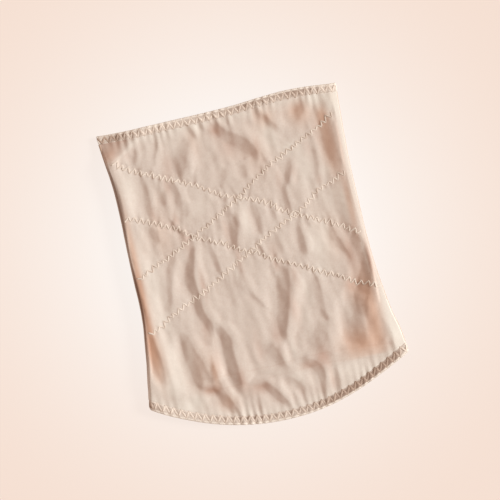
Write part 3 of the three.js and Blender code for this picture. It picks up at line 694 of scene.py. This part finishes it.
# Shaded places that the light from the side leaves out: hollows that run across, charted the same way.
SHADE_SPOTS = [
    (-52, -72, 8, 3, 0.8), (-27, -70, 3, 8, 0.6), (-15, -77.5, 9, 4, 0.55), (24, -69.5, 6, 2.6, 0.5),
    (37, -66, 5, 7, 0.55), (39.5, -80, 2.2, 9, 0.45), (-42, -56, 2, 8, 0.3), (-46, -37, 4, 8, 0.35),
    (-81, -50, 3, 10, 0.3), (-90, -38, 2.5, 12, 0.8), (-83, -4, 3, 14, 0.3), (-88, 2, 2, 8, 0.4),
    (-78, 22, 4, 9, 0.25), (-10, -52, 4, 10, 0.3), (5, -47, 4, 9, 0.4), (22.5, -33, 3.5, 10, 0.4),
    (72, -6, 3, 9, 0.35), (17, -5, 3, 3, 0.4), (33, -68, 5, 6, 0.4), (-9, 87, 5, 5, 0.35), (24.5, 92, 2, 4, 0.5),
    (36, 93, 1.5, 3, 0.4), (28, -14, 3, 7, 0.35), (29.5, 90, 2, 3, 0.35), (33.5, 85.5, 2.2, 3.5, 0.5),
    (38, 80, 2.2, 3.5, 0.45), (-40.5, -7, 2.2, 9, 0.5), (-10, 4, 2.2, 10, 0.45), (16.5, 3, 4, 7, 0.3),
    (-15, 24, 3, 8, 0.3), (-46, 22, 4, 7, 0.5), (-5, 86, 5, 6, 0.55), (0, 73, 8, 8, 0.4), (21.5, 70, 2.4, 6, 0.35),
    (-47, 70, 4, 10, 0.35), (-51, 58, 3, 8, 0.4), (-50, 36, 2, 4, 0.5), (-66, 42, 2, 5, 0.4), (-80, 84, 6, 5, 0.3),
    (32, 46, 2.5, 6, 0.3), (44, 50, 3, 5, 0.25), (61.5, 41, 2.5, 3.5, 0.4), (60, 90, 5, 3, 0.3), (58, 63, 3, 6, 0.25),
    (66.5, 71, 2.5, 7, 0.25), (83, 62, 1.4, 16, 0.5), (85.6, -14, 1.8, 12, 1.0), (67, -27, 4, 5, 0.55),
    (74, -12, 5, 14, 0.45), (75, -53, 2, 6, 0.3), (57, -58, 3, 9, 0.25),
]
# Painted light: highlights on the outer side of the right roll and on patches that face the light, charted the same
# way.
PAINTED_LIGHT_SPOTS = [
    (72, 91, 7, 6, 0.8), (83, 86, 5, 7, 0.7), (90, 60, 5, 40, 1.0), (90, 18, 3, 26, 1.0), (93, -46, 5, 24, 1.0),
    (97, -60, 6, 9, 0.8), (-75, -58, 8, 24, 0.5), (33, 75, 6, 11, 0.7), (53, 50, 6, 14, 0.5), (52, 2, 9, 14, 0.6),
    (56, -78, 22, 6, 0.5), (-78, 4, 8, 30, 0.5), (-80, 62, 6, 14, 0.4), (-40, 84, 26, 8, 0.2), (-30, 42, 8, 8, 0.25),
    (1, 26, 3, 12, 0.4), (35, -24, 3, 9, 0.35), (30, -39, 3, 8, 0.3), (-20, 88, 3, 8, 0.3), (14, -76, 6, 6, 0.3),
    (-28.5, -88, 2.5, 7, 0.5), (-91, -66, 7, 6, 0.4), (-80, -70, 4, 7, 0.4), (-62, -76, 7, 5, 0.4),
    (-36, -78, 2.5, 5, 0.3), (-74, -25, 5, 5, 0.3), (58, 14, 3, 8, 0.4), (45, 65, 6, 4, 0.6), (67, 28, 8, 14, 0.35),
    (68, 45, 3, 5, 0.4), (48, -13, 6, 4, 0.4), (-14.5, -3, 2, 5, 0.3), (-66, -78, 8, 5, 0.5), (-35.5, -54, 2, 8, 0.3),
    (-62, -50, 3, 12, 0.2), (15.5, -60, 2, 6, 0.3), (76, 24, 2.5, 14, 0.4),
]
# The right side, under its edge, is out of the light, so it takes painted shade.
RIGHT_SIDE_TINT = (0.7, 0, 0.1, 0)
# The left edge lies in its own shade: (along, how far in it reaches in millimetres, share).
EDGE_SHADE_ROWS = [
    (-100, 0.6, 0.0), (-60, 0.9, 0.1), (-48, 1.2, 0.5), (-28, 2.2, 0.75), (4, 3.8, 0.78), (20, 2.0, 0.55),
    (40, 4.6, 0.7), (62, 4.4, 0.68), (76, 2.2, 0.55), (82, 0.8, 0.3), (88, 0.6, 0.0), (100, 0.6, 0.0),
]


def cloth_tint(points, outer):
    """For each point: red is its painted shade, green the painted warm light through it, blue how pale it is, with
    painted highlights, and alpha the painted shade of its left edge. The outer face's points come first."""
    x, y, z = np.moveaxis(outer, 2, 0)
    across, along = x / UNIT_X, y / UNIT_Y
    from_edge = from_side(x, y)
    from_band = np.minimum(top_edge(x / HALF_WIDTH) - y, y - hem_edge(x)) - BAND_WIDTH

    # Painted shade: hollows are darker, and so are the slopes that face away from the light.
    painted_shade = np.clip((blur(z, 60) - z) / 3.4, 0, 0.4)
    climbing = np.gradient(blur(z, 2), axis=1) / np.maximum(np.gradient(x, axis=1), 0.3)
    climbing = np.clip((climbing - 0.05) / 0.6, 0, 0.35) * (from_edge > 9)
    # Painted shade on the fallen top left corner and a strip by the left roll; a painted highlight on its ridge.
    past = past_corner(x, y)
    fallen = 0.62 * smooth(past / 11)
    ridge = 0.35 * np.exp(-((past + 1.5) / 1.8) ** 2) * smooth((across + 90) / 6) * smooth((-64 - across) / 6)
    strip = 0.9 * np.exp(-((across + 87.2) / 2.4) ** 2) * smooth((12 - along) / 10) * smooth((along + 44) / 18)
    reach, share = (curve(EDGE_SHADE_ROWS, along, column) for column in (1, 2))
    shade = (x < 0) * share * (1 - smooth((from_edge - 0.6 * reach) / (0.8 * reach)))

    # Red gathers the painted shade, with some in the pressed creases; alpha holds the left edge's painted shade.
    tint = np.zeros((len(points), 4))
    face = tint[:x.size]
    face[:, 0] = (painted_shade + climbing + fallen + strip + 0.1 * creases(x, y)).ravel()
    face[:, 3] = shade.ravel()
    for channel, spots in enumerate((SHADE_SPOTS, WARM_LIGHT_SPOTS, PAINTED_LIGHT_SPOTS)):
        for spot_across, spot_along, wide, tall, share in spots:
            dx = (points[:, 0] / UNIT_X - spot_across) / wide
            dy = (points[:, 1] / UNIT_Y - spot_along) / tall
            tint[:, channel] += share * np.exp(-(dx ** 2 + dy ** 2))
    # A pressed crease ends the painted warm light at the lower right, and the cloth is pale beside both bands.
    tint[:, 1] *= np.where(points[:, 0] > 0, smooth((points[:, 1] / UNIT_Y + 74) / 2.5), 1)
    face[:, 2] += (0.4 * (1 - smooth(from_band / 14)) * (1 - fallen) + ridge).ravel()
    face[((x > 0) & (from_edge < 0.7)).ravel()] = RIGHT_SIDE_TINT
    return np.clip(tint, 0, 1)


def in_red(values):
    """A tint that has these values as its red."""
    return np.stack([values, values * 0, values * 0, values * 0], 1)


def sweep(points, ups, radius, sides, closed=False, spread=1.0):
    """A thread: a section of that radius, spread sideways, swept along points, with up directions to hold it."""
    points, ups = np.asarray(points, float), np.asarray(ups, float)
    if closed:
        tangent = np.roll(points, -1, 0) - np.roll(points, 1, 0)
    else:
        tangent = np.gradient(points, axis=0)
    tangent /= np.linalg.norm(tangent, axis=1)[:, None]
    side = np.cross(tangent, ups)
    side /= np.linalg.norm(side, axis=1)[:, None]
    up = np.cross(side, tangent)
    turn = np.arange(sides) * 2 * math.pi / sides
    ring = side[:, None] * spread * np.cos(turn)[None, :, None] + up[:, None] * np.sin(turn)[None, :, None]
    body = points[:, None] + ring * np.asarray(radius)[..., None, None]
    count = len(points)
    faces = []
    for k in range(count if closed else count - 1):
        here, after = k * sides, (k + 1) % count * sides
        for s, t in zip(range(sides), (*range(1, sides), 0)):
            faces.append((here + s, here + t, after + t, after + s))
    if not closed:
        faces += [tuple(range(sides - 1, -1, -1)), tuple((count - 1) * sides + s for s in range(sides))]
    return body.reshape(-1, 3), faces


def join(parts):
    """Several parts in one: points, faces and a tint, from each part's points, faces and values of red."""
    faces, start = [], 0
    for points, theirs, _ in parts:
        faces += [tuple(v + start for v in f) for f in theirs]
        start += len(points)
    points, _, red = zip(*parts)
    return np.concatenate(points), faces, in_red(np.concatenate(red))


def zigzag_row(path):
    """The thread of one stitch row, which dips into the cloth at each needle hole, and how worn it is."""
    run = run_along(path)
    holes = np.arange(0, run[-1], ROW_PITCH / 2)
    hole = np.arange(len(holes))
    at = np.arange(0, (len(holes) - 1) * ROW_STEPS + 1) / ROW_STEPS
    rng = np.random.default_rng(61 + len(holes))
    along, across = (rng.normal(0, 1, len(holes)) * stray for stray in STITCH_STRAY)
    place = np.interp(at, hole, holes + along)
    swing = np.interp(at, hole, np.where(hole % 2, 1, -1) * (1 + across) * ROW_WIDTH / 2)
    x, y = (np.interp(place, run, values) for values in path.T)
    dx, dy = np.gradient(x), np.gradient(y)
    long = np.hypot(dx, dy)
    x, y = x - dy / long * swing, y + dx / long * swing
    z = front_z(x, y) + THREAD_ARCH * np.sin(math.pi * (at % 1)) - THREAD_SINK
    slope_x = front_z(x + 0.5, y) - front_z(x - 0.5, y)
    slope_y = front_z(x, y + 0.5) - front_z(x, y - 0.5)
    ups = np.stack([-slope_x, -slope_y, np.ones(len(x))], 1)
    body, faces = sweep(np.stack([x, y, z], 1), ups, ROW_THREAD, ROW_SIDES, spread=ROW_THREAD_SPREAD)
    worn = np.interp(at, hole, np.clip(STITCH_WEAR * rng.normal(0, 1, len(holes)), 0, 0.6))
    return body, faces, np.repeat(worn, ROW_SIDES)


def ring_lanes(share, step):
    """Lane numbers at even steps round a band, and how far round each one is."""
    dense = np.linspace(0, 6, 2401)
    line = tube(dense, share, BAND_WIDTH / 2, 0)
    run = run_along(line[:, ::2])
    count = int(run[-1] / step)
    at = np.arange(count) * run[-1] / count
    return np.interp(at, run, dense), at, run[-1]


def zigzag_inset(round_share, count):
    """Inset of the band's zigzag at a share of the way round: it swings between the edge and the cloth."""
    phase = (round_share * count) % 1
    return ZIGZAG_EDGE + ZIGZAG_WIDTH * (1 - np.abs(2 * phase - 1))


def band_puff(at, inset, whole, count):
    """The elastic swells between the stitches and is drawn in under them."""
    off = np.abs(inset - zigzag_inset(at / whole, count)) * 0.55
    swell = PUFF * (1 - np.exp(-(off / 0.8) ** 2)) - PUFF_SINK
    return swell * smooth(inset / 1.5) * smooth((BAND_WIDTH - inset) / 1.5)


# Lines round a band's outer face: (inset from its edge, how far in they are tucked).
BAND_LINES = [
    (0.0, 0.75), (0.25, 0.3), (0.8, 0.0),
    *((inset, 0.0) for inset in np.linspace(1.5, BAND_WIDTH - 1.2, 11)),
    (BAND_WIDTH - 0.5, 0.12), (BAND_WIDTH, 0.35),
]
# Lines round its inner face, in the same columns.
INNER_LINES = [(BAND_WIDTH, 0.0), (BAND_WIDTH * 0.6, 0.0), (BAND_WIDTH * 0.3, 0.0), (0.0, -0.3)]


def elastic_band(name, share):
    """One band: a closed ring with a swollen zigzag face outside, a flat one inside and small loops at its edge."""
    lanes, at, whole = ring_lanes(share, BAND_STEP)
    count = round(whole / ZIGZAG_PITCH)
    picot = PICOT_DEPTH * np.cos(2 * math.pi * at / whole * round(whole / PICOT_PITCH))
    scallop = SCALLOP * np.cos(2 * math.pi * at / whole * count)
    rows = []
    for inset, tuck in BAND_LINES:
        puff = band_puff(at, np.full(at.shape, inset), whole, count)
        keep = inset - np.exp(-inset / 0.5) * (picot + 0.15) + scallop * np.exp(-inset / 1.5)
        rows.append(tube(lanes, share, np.maximum(keep, 0), tuck - puff))
    rows += [tube(lanes, share, inset, ELASTIC_WALL + tuck) for inset, tuck in INNER_LINES]
    points = np.stack(rows)
    levels, columns = points.shape[:2]
    faces = grid_faces(levels, columns, 0, share == 0, around=True)
    last = (levels - 1) * columns
    for k in range(columns):
        n = (k + 1) % columns
        corner = (last + k, k, n, last + n)
        faces.append(corner[::-1] if share == 0 else corner)
    points = points.reshape(-1, 3)
    uv = np.stack([np.tile(at, levels), np.repeat([inset for inset, _ in BAND_LINES + INNER_LINES], columns)], 1)
    return add_mesh(name, points, faces, elastic, uv, band_tint(points, at, whole, count, share))


# Painted shade on the top band and the hem's band between their stitches, which their threads take too: (across,
# share towards the edge, share towards the cloth).
BAND_SHADES = [[
    (-96, 1.0, 1.0), (-80, 0.95, 0.95), (-72, 0.2, 0.35), (-50, 0.15, 0.35), (-15, 0.3, 0.4), (0, 0.5, 0.4),
    (18, 0.9, 0.5), (40, 0.7, 0.4), (58, 0.9, 0.6), (72, 0.7, 0.3), (80, 0.15, 0.0), (96, 0.0, 0.0),
], [
    (-100, 1.0, 1.0), (-94, 0.6, 0.5), (-86, 0.1, 0.2), (-60, 0.15, 0.3), (-45, 0.3, 0.7), (0, 0.35, 0.75),
    (20, 0.6, 0.75), (36, 0.95, 0.9), (50, 1.0, 1.0), (82, 1.0, 1.0), (92, 0.9, 0.9), (97, 0.2, 0.1),
]]


def band_tint(points, at, whole, count, share):
    """Red is painted shade between the band's stitches and its loops, and blue how pale the loops at its edge are."""
    tint = np.zeros((len(points), 4))
    tint[:, 3] = 1
    table = np.transpose(BAND_SHADES[share])
    pale_from = -76 if share == 0 else -92
    for row, (inset, _) in enumerate(BAND_LINES):
        below = zigzag_inset(at / whole, count) - inset
        here = slice(row * len(at), (row + 1) * len(at))
        across = points[here, 0] / UNIT_X
        outer, inner = (np.interp(across, table[0], column) for column in table[1:])
        slit = 3.0 - 2.2 * smooth((np.maximum(outer, inner) - 0.75) / 0.25)
        deep = outer * smooth(below / slit - 0.3) + inner * smooth(-below / slit - 0.3)
        front = smooth((points[here, 2] - 5) / 3)
        tint[here, 0] = deep * front * smooth((inset - 1.7) / 1.2) * smooth((BAND_WIDTH - inset) / 2.6)
        if inset < 1:
            tint[here, 0] = front * (0.3 - 0.3 * np.cos(2 * math.pi * at / PICOT_PITCH))
        fringe = front * (1 - smooth((inset - 1.8) / 1.4))
        tint[here, 2] = fringe * (1 - 0.8 * smooth((pale_from - across) / 5))
    return tint


def band_zigzag(name, share):
    """The zigzag thread of one band, laid over the elastic and dipping at each needle hole."""
    lanes, at, whole = ring_lanes(share, BAND_STEP)
    count = round(whole / ZIGZAG_PITCH)
    stitch = np.arange(count * ZIGZAG_STEPS) / ZIGZAG_STEPS
    inset = zigzag_inset(stitch / count, count)
    place = stitch / count * whole
    u = np.interp(place, np.append(at, whole), np.append(lanes, 6.0))
    puff = band_puff(place, inset, whole, count)
    points = tube(u, share, inset, -puff - 0.3 * np.sin(math.pi * (stitch * 2 % 1)) ** 0.7)
    points[:, 2] = np.maximum(points[:, 2], BAND_THREAD)
    ups = points - tube(u, share, inset, 2.0)
    ups /= np.linalg.norm(ups, axis=1)[:, None]
    body, faces = sweep(points, ups, BAND_THREAD, ZIGZAG_SIDES, closed=True, spread=BAND_THREAD_SPREAD)
    # The thread takes the band's painted shade on its upper side, and all round near the left edge.
    across, to_edge, to_cloth = np.transpose(BAND_SHADES[share])
    high = np.where(body[:, 0] < -0.8 * HALF_WIDTH, 1, smooth((body[:, 2] - 4) / 4))
    tint = in_red(np.interp(body[:, 0] / UNIT_X, across, to_edge * to_cloth) * high)
    return add_mesh(name, body, faces, band_thread, tint=tint)


def seam_ridge(name, side):
    """One side seam: an overlocked ridge, with its stitches close together round it."""
    share = np.linspace(0, 1, SEAM_STEPS)
    middle = tube(0.0 if side < 0 else 3.0, share, BAND_WIDTH - 0.5, CLOTH_WALL / 2)
    middle[:, 0] += side * 0.2
    run = np.linspace(0, SIDE_LENGTH, SEAM_STEPS)
    bulge = 1 + 0.13 * np.abs(np.sin(math.pi * run / 2.4)) + 0.04 * waves(run, run * 0, 41 + side, 6, 9, 40)
    ups = np.tile([0.0, 0.0, 1.0], (SEAM_STEPS, 1))
    body, faces = sweep(middle, ups, SEAM_RADIUS * 0.92 * bulge, SEAM_SIDES)
    # Painted shade on the left seam towards the top, where the corner falls away.
    tint = in_red((side < 0) * smooth((body[:, 1] / UNIT_Y - 55) / 20))
    return add_mesh(name, body, faces, overlock, tint=tint)


class Nodes:
    """Short names for making a material out of nodes."""

    def __init__(self, name):
        self.material = bpy.data.materials.new(name)
        self.material.use_nodes = True
        self.tree = self.material.node_tree
        self.shader = self.tree.nodes["Principled BSDF"]
        self.where = self.add("ShaderNodeTexCoord").outputs

    def add(self, kind, **values):
        node = self.tree.nodes.new(kind)
        for key, value in values.items():
            if hasattr(node, key):
                setattr(node, key, value)
            else:
                node.inputs[key].default_value = value
        return node

    def link(self, out, into):
        self.tree.links.new(out, into)

    def into(self, socket, value):
        """Set a socket to a number or a colour, or link it."""
        if isinstance(value, (int, float)):
            socket.default_value = value
        elif isinstance(value, tuple):
            socket.default_value = (*value, 1)
        else:
            self.link(value, socket)

    def math(self, operation, first, second=0.5, clamp=False):
        node = self.add("ShaderNodeMath", operation=operation, use_clamp=clamp)
        self.into(node.inputs[0], first)
        self.into(node.inputs[1], second)
        return node.outputs[0]

    def mix(self, factor, first, second):
        node = self.add("ShaderNodeMix", data_type="RGBA", clamp_factor=True)
        for socket, value in zip((node.inputs[0], node.inputs[6], node.inputs[7]), (factor, first, second)):
            self.into(socket, value)
        return node.outputs[2]

    def layers(self, base, *coats):
        """A colour under coats of others: (where, how much of it at most, colour as displayed)."""
        for where, share, colour in coats:
            base = self.mix(self.math("MULTIPLY", where, share), base, linear(*colour))
        return base

    def noise(self, scale, detail=2.0, roughness=0.5, at=None):
        node = self.add("ShaderNodeTexNoise", Scale=scale, Detail=detail, Roughness=roughness)
        self.link(at or self.where["Object"], node.inputs["Vector"])
        return node.outputs[0]

    def tint(self):
        """The mesh's tint, which holds painted shade, painted light and wear: red, green, blue and alpha."""
        tint = self.add("ShaderNodeAttribute", attribute_name="tint")
        split = self.add("ShaderNodeSeparateColor")
        self.link(tint.outputs["Color"], split.inputs[0])
        return (*split.outputs, tint.outputs["Alpha"])

    def ribs(self, across, along):
        """Waves with these lengths along the two directions of the weave."""
        weave = self.add("ShaderNodeSeparateXYZ")
        self.link(self.where["UV"], weave.inputs[0])
        return (self.math("SINE", self.math("MULTIPLY", place, 2 * math.pi / size))
                for place, size in zip(weave.outputs, (across, along)))

    def finish(self, colour, height, strength, distance, **gloss):
        """The material, with its colour, its bump and its gloss."""
        self.link(colour, self.shader.inputs["Base Color"])
        bump = self.add("ShaderNodeBump", Strength=strength, Distance=distance)
        self.link(height, bump.inputs["Height"])
        self.link(bump.outputs[0], self.shader.inputs["Normal"])
        for name, value in gloss.items():
            self.into(self.shader.inputs[name.replace("_", " ")], value)
        return self.material


def linear(red, green, blue):
    """A display colour, from 0 to 255, as the light values that shaders use."""
    return tuple((v / 255 / 12.92) if v <= 10 else ((v / 255 + 0.055) / 1.055) ** 2.4 for v in (red, green, blue))


def knit_material():
    """Fine knit: ribs of loops under a soft sheen, a little uneven in tone, with painted shade and painted light."""
    n = Nodes("stretch_knit_fine")
    painted_shade, warm, pale, shade = n.tint()
    broad = n.noise(22.0, 3.0, 0.6)
    fine = n.noise(520.0, 2.0, 0.7)
    drawn = n.add("ShaderNodeMapping", Scale=(140, 5, 1))
    n.link(n.where["UV"], drawn.inputs["Vector"])
    streak = n.noise(1.0, at=drawn.outputs[0])
    base = n.mix(broad, linear(208, 193, 182), linear(218, 205, 196))
    base = n.layers(base, (streak, 0.30, (225, 212, 203)))
    grain = n.math("MULTIPLY", n.math("SUBTRACT", fine, 0.30), 1.2, clamp=True)
    base = n.mix(grain, base, linear(202, 181, 168))
    # The tint paints shade (red and alpha), warm light that comes through (green) and highlights and pale places
    # (blue).
    base = n.layers(base, (painted_shade, 0.78, (178, 138, 119)), (warm, 0.65, (208, 156, 124)), (pale, 0.75, (234, 226, 216)))
    base = n.mix(shade, base, linear(112, 76, 56))
    rib, loop = n.ribs(0.0052, 0.0038)
    loops = n.math("MULTIPLY", n.math("ADD", rib, 1.0), n.math("ADD", loop, 2.0))
    height = n.math("ADD", n.math("MULTIPLY", loops, 0.10), n.math("MULTIPLY", fine, 0.6))
    rough = n.math("ADD", n.math("MULTIPLY", fine, 0.18), 0.72)
    return n.finish(base, height, 0.28, 0.00022, Roughness=rough, Specular_IOR_Level=0.1, Sheen_Weight=0.18,
                    Sheen_Roughness=0.45, Sheen_Tint=linear(250, 232, 220))


def elastic_material():
    """Ribbed elastic, with painted shade where it lies between its stitches."""
    n = Nodes("edge_elastic_ribbed")
    painted_shade, _, pale, _ = n.tint()
    fine = n.noise(700.0)
    base = n.mix(n.noise(45.0), linear(216, 200, 188), linear(230, 216, 205))
    # Paler loops at its edge, and painted shade between its stitches and its loops.
    base = n.layers(base, (fine, 0.3, (206, 186, 172)), (pale, 0.7, (247, 235, 223)), (painted_shade, 0.8, (140, 108, 90)))
    rib, cross = n.ribs(0.0075, 0.011)
    height = n.math("ADD", n.math("MULTIPLY", n.math("ADD", rib, cross), 0.25), fine)
    return n.finish(base, height, 0.5, 0.0004, Roughness=0.85, Specular_IOR_Level=0.1, Sheen_Weight=0.15)


def thread_material(name, light, dark):
    """Spun thread: fine twist along it, light with slightly darker flecks, and darker where its tint is red."""
    n = Nodes(name)
    twist = n.add("ShaderNodeTexWave", Scale=520.0, Distortion=3.0, Detail=2.0, bands_direction="DIAGONAL")
    n.link(n.where["Object"], twist.inputs["Vector"])
    base = n.mix(n.noise(260.0), linear(*dark), linear(*light))
    # The red of the tint is painted shade on the band's threads and the left seam, and wear on the stitch rows.
    base = n.layers(base, (twist.outputs[0], 0.4, light), (n.tint()[0], 0.75, (164, 133, 114)))
    return n.finish(base, twist.outputs[0], 0.4, 0.0002, Roughness=0.75, Specular_IOR_Level=0.15, Sheen_Weight=0.2)


FLOOR_GLOW = 0.923
FLOOR_SHADE = 0.08
# The painted pool of light under the garment: its colour and the paper's, as displayed, and how far from its
# centre, in metres, it begins to fade and has eased into the paper.
GLOW_CENTRE = (-0.0105, 0.0295, 0)
GLOW_COLOUR = (254, 250, 247)
PAPER_COLOUR = (245, 224, 211)
GLOW_INNER = 0.1
GLOW_OUTER = 0.385
GLOW_EASE = 1.5
GLOW_STOPS = 12


def floor_material():
    """Pale glowing paper that takes a little lamp light, with a wide painted pool of light beside the garment."""
    n = Nodes("paper")
    near = n.add("ShaderNodeVectorMath", operation="DISTANCE")
    n.link(n.where["Object"], near.inputs[0])
    near.inputs[1].default_value = GLOW_CENTRE
    ramp = n.add("ShaderNodeValToRGB")
    stops = ramp.color_ramp.elements
    while len(stops) < GLOW_STOPS:
        stops.new(0.5)
    for stop, reach in zip(stops, np.linspace(GLOW_INNER, GLOW_OUTER, GLOW_STOPS)):
        left = ((GLOW_OUTER - reach) / (GLOW_OUTER - GLOW_INNER)) ** GLOW_EASE
        colour = np.array(PAPER_COLOUR) * (1 - left) + np.array(GLOW_COLOUR) * left
        stop.position = reach / GLOW_OUTER
        stop.color = (*linear(*colour), 1)
    n.link(n.math("DIVIDE", near.outputs["Value"], GLOW_OUTER), ramp.inputs[0])
    n.link(n.mix(FLOOR_SHADE, (0.0, 0.0, 0.0), ramp.outputs[0]), n.shader.inputs["Base Color"])
    n.link(ramp.outputs[0], n.shader.inputs["Emission Color"])
    for name, value in (("Emission Strength", FLOOR_GLOW), ("Roughness", 0.9), ("Specular IOR Level", 0.0)):
        n.shader.inputs[name].default_value = value
    return n.material


# The binder
knit = knit_material()
elastic = elastic_material()
band_thread = thread_material("band_thread", (234, 218, 205), (212, 193, 179))
row_thread = thread_material("row_thread", (228, 213, 200), (208, 190, 177))
overlock = thread_material("overlock_thread", (222, 202, 186), (180, 154, 136))

front = sheet_of_cloth("front_cloth", 0, FRONT_STEPS, True)
back = sheet_of_cloth("back_cloth", 3, BACK_STEPS, False)
top_band, hem_band = elastic_band("top_band", 0), elastic_band("hem_band", 1)
top_zigzag, hem_zigzag = band_zigzag("top_zigzag", 0), band_zigzag("hem_zigzag", 1)
row_points, row_faces, row_tint = join([zigzag_row(path) for path in ROW_PATHS])
cross_stitching = add_mesh("cross_stitching", row_points, row_faces, row_thread, tint=row_tint)
seam_left, seam_right = seam_ridge("seam_left", -1), seam_ridge("seam_right", 1)

PIECES = [
    (front, "stretch_knit", "front_panel"), (back, "stretch_knit", "back_panel"),
    (top_band, "elastic_edge", "top_elastic"), (hem_band, "elastic_edge", "bottom_elastic"),
    (top_zigzag, "seam_thread", None), (hem_zigzag, "seam_thread", None), (cross_stitching, "seam_thread", None),
    (seam_left, "seam_thread", "side_seam_left"), (seam_right, "seam_thread", "side_seam_right"),
]
for piece, slot, node in PIECES:
    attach(piece, "root")
    if node:
        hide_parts(node)

# A pale floor, and for views from the side a rim far out, whose rows are (distance, height) in millimetres
bpy.ops.mesh.primitive_plane_add(size=6, location=(0, 0, -0.0003))
floor = bpy.context.object
floor.name = "floor"
floor.data.materials.append(floor_material())
RIM_ROWS = [(2700, -0.2), (3000, 45), (3300, 220), (3550, 750)]
RIM_STEPS = 96
way = np.arange(RIM_STEPS) * 2 * math.pi / RIM_STEPS
rim_points = np.concatenate([np.stack([reach * np.cos(way), reach * np.sin(way), way * 0 + height], 1)
                             for reach, height in RIM_ROWS])
backdrop = add_mesh("backdrop", rim_points, grid_faces(len(RIM_ROWS), RIM_STEPS, around=True),
                    floor.data.materials[0])

# A wide soft light low on the right, and a dim warm room
KEY_POWER = 3.76
KEY_SPREAD = 16
KEY_HEIGHT = 29
SKY_POWER = 0.50
key = bpy.data.objects.new("key", bpy.data.lights.new("key", "SUN"))
key.data.energy = KEY_POWER
key.data.angle = math.radians(KEY_SPREAD)
key.data.color = (0.905, 0.985, 1.0)
key.rotation_euler = (0, math.radians(90 - KEY_HEIGHT), 0)
bpy.context.scene.collection.objects.link(key)
world = bpy.data.worlds.new("studio")
world.use_nodes = True
sky = world.node_tree.nodes["Background"]
sky.inputs["Color"].default_value = (1.0, 0.80, 0.67, 1)
sky.inputs["Strength"].default_value = SKY_POWER
bpy.context.scene.world = world

# The view is square to the surface, and the garment lies turned in it.
VIEW_TURN = 12.5
camera = bpy.data.objects.new("camera", bpy.data.cameras.new("camera"))
camera.data.sensor_width = 36
camera.data.lens = 78.5
camera.location = (-0.00044, 0.01382, 1.211)
camera.rotation_euler = (0, 0, math.radians(-VIEW_TURN))
bpy.context.scene.collection.objects.link(camera)
bpy.context.scene.camera = camera
bpy.context.scene.view_settings.view_transform = "Standard"
